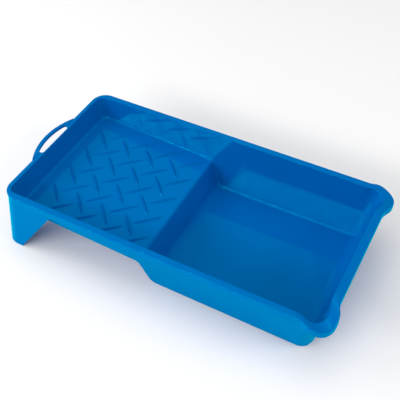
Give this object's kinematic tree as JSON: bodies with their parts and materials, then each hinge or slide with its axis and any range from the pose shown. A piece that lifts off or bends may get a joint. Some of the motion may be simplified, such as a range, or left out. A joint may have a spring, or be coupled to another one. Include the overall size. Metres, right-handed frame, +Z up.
{
  "type": "mini paint roller tray",
  "caption": "Shallow one-piece plastic tray with a ribbed ramp, a deep well, two pouring lips, two corner legs and a hanging loop.",
  "frame": {"origin": "on the ground under the middle of the overall length and width", "axes": "+X towards the pour end with the lips, +Y towards the left side seen from the hanging loop, +Z up"},
  "size_m": [0.3046, 0.1622, 0.057],
  "materials": {
    "tray_plastic": "moulded polypropylene, blue, satin to glossy, unpainted"
  },
  "bodies": {
    "root": {"well_floor": "tray_plastic", "well_step": "tray_plastic", "ramp_panel": "tray_plastic", "ramp_ribs": "tray_plastic", "ramp_end_wall": "tray_plastic", "pour_end_wall": "tray_plastic", "ramp_side_left": "tray_plastic", "ramp_side_right": "tray_plastic", "step_side_left": "tray_plastic", "step_side_right": "tray_plastic", "well_side_left": "tray_plastic", "well_side_right": "tray_plastic", "rim_left": "tray_plastic", "rim_right": "tray_plastic", "skirt_left": "tray_plastic", "skirt_right": "tray_plastic", "rim_ramp_end": "tray_plastic", "rim_pour_end": "tray_plastic", "pour_lip_left": "tray_plastic", "pour_lip_right": "tray_plastic", "hanging_loop": "tray_plastic", "leg_left": "tray_plastic", "leg_right": "tray_plastic", "gate_mark": "tray_plastic"}
  },
  "joints": []
}
